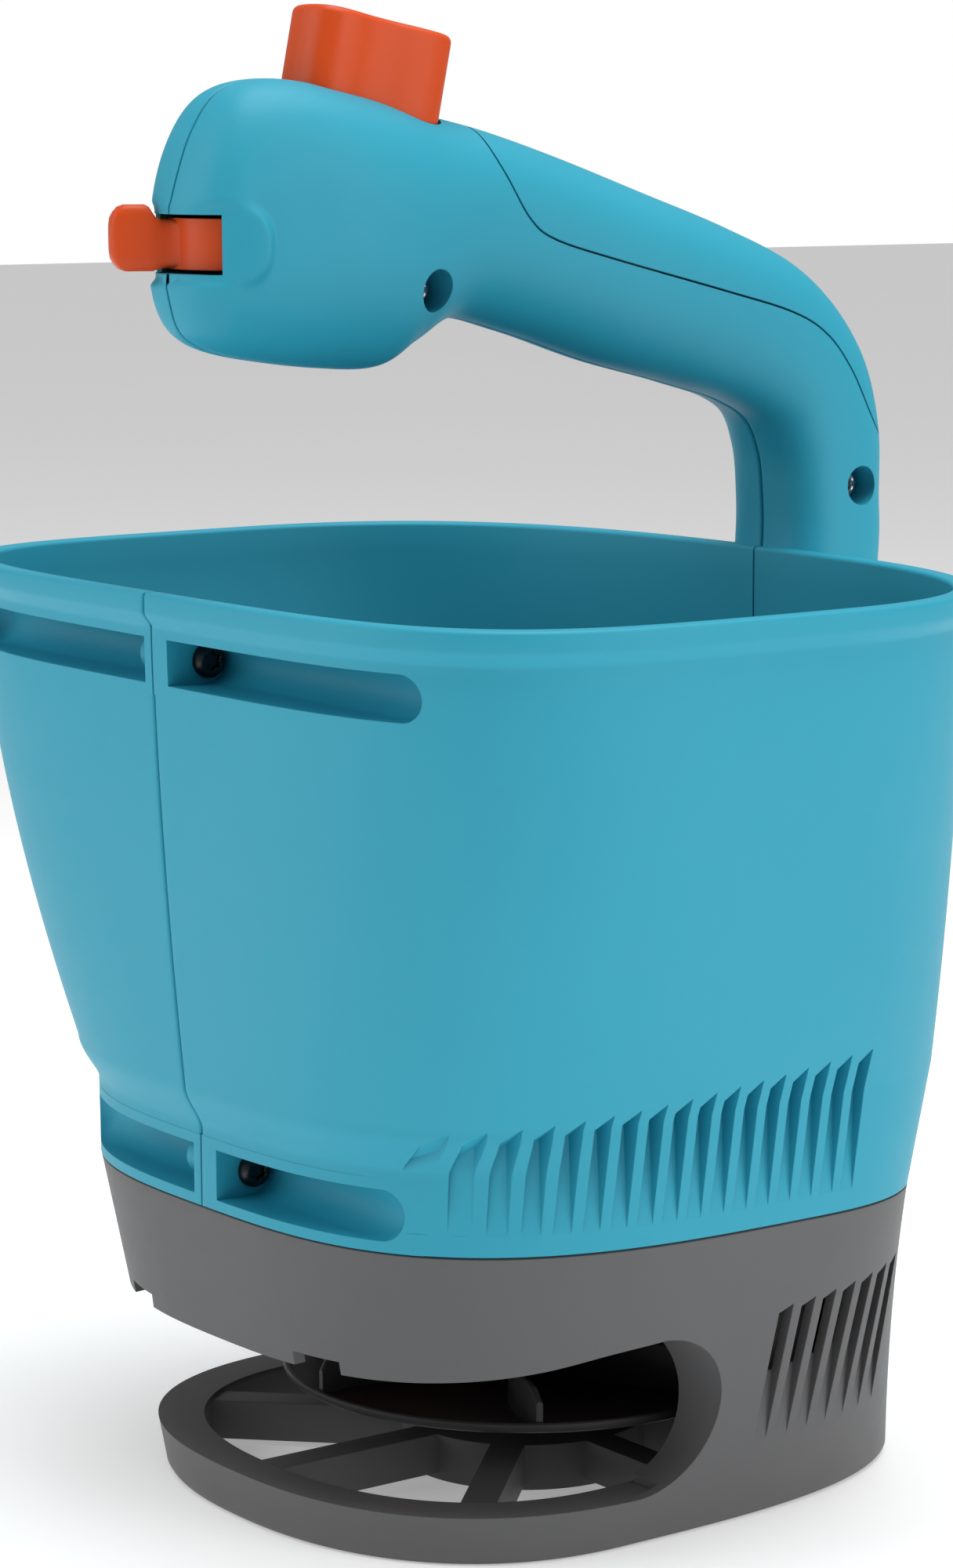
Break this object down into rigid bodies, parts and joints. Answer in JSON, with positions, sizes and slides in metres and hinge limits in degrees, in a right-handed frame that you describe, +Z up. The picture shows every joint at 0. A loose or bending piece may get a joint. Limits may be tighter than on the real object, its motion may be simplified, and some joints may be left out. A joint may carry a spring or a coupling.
{
  "type": "handheld battery spreader",
  "caption": "Hand-held battery garden spreader: two-shell hopper with arched handle, push button, rate lever and a base with a spinning disc behind a spoked guard ring.",
  "frame": {"origin": "on the floor at the middle of the guard ring's hub, under the spinner's axis", "axes": "+Z up, -Y towards the head and the throw window, +Y towards the rear spine, +X to the right of the split line; the half shells meet at X = 0"},
  "size_m": [0.249, 0.2147, 0.3569],
  "materials": {
    "teal_shell": "fine-grained moulded plastic",
    "orange_control": "satin moulded plastic",
    "grey_base": "fine-grained moulded plastic",
    "grey_inner": "plain moulded plastic",
    "black_plastic": "satin moulded plastic",
    "spring_steel": "drawn",
    "nickel_plate": "nickel plated",
    "cell_can": "plain sleeve",
    "motor_can": "zinc plated",
    "zinc_screw": "zinc plated",
    "black_screw": "black zinc"
  },
  "bodies": {
    "frame": {"shell_right": "teal_shell", "shell_left": "teal_shell", "return_spring": "spring_steel", "micro_switch": "black_plastic", "switch_carrier": "grey_inner", "lever_pin": "spring_steel", "battery_tray": "black_plastic", "contact_front": "nickel_plate", "contact_rear": "nickel_plate", "cell_left_1": "cell_can", "cell_left_2": "cell_can", "cell_right_1": "cell_can", "cell_right_2": "cell_can", "base_frame": "grey_base", "hopper_floor": "black_plastic", "motor_pod": "grey_inner", "motor": "motor_can", "screw_front_1": "black_screw", "screw_front_2": "black_screw", "screw_head": "zinc_screw", "screw_post": "zinc_screw", "screw_spine_1": "zinc_screw", "screw_spine_2": "zinc_screw", "screw_base_left_1": "black_screw", "screw_base_right_1": "black_screw", "screw_base_left_2": "black_screw", "screw_base_right_2": "black_screw"},
    "button": {"push_button": "orange_control"},
    "lever": {"rate_lever": "orange_control"},
    "doser": {"dosing_ring": "orange_control"},
    "spinner": {"spinner_disc": "black_plastic", "motor_shaft": "spring_steel"},
    "cover": {"battery_cover": "teal_shell"}
  },
  "joints": [
    {"name": "button_press", "type": "slide", "parent": "frame", "child": "button", "axis": [0, -0.2079, -0.9781], "range_m": [0, 0.008], "stiffness_N_per_m": 400, "springref_m": -0.003, "deforming": ["return_spring"]},
    {"name": "lever_turn", "type": "hinge", "parent": "frame", "child": "lever", "pos_m": [0, -0.079, 0.303], "axis": [0, 0, 1], "range_deg": [0, 44]},
    {"name": "doser_turn", "type": "hinge", "parent": "frame", "child": "doser", "pos_m": [0, 0, 0.0764], "axis": [0, 0, 1], "range_deg": [0, 44]},
    {"name": "spinner_spin", "type": "hinge", "parent": "frame", "child": "spinner", "pos_m": [0, 0, 0.0255], "axis": [0, 0, 1], "continuous": true},
    {"name": "cover_lift", "type": "slide", "parent": "frame", "child": "cover", "axis": [0, 0.2924, 0.9563], "range_m": [0, 0.06]}
  ],
  "couplings": [
    {"joint": "doser_turn", "follows": "lever_turn", "ratio": 1}
  ]
}
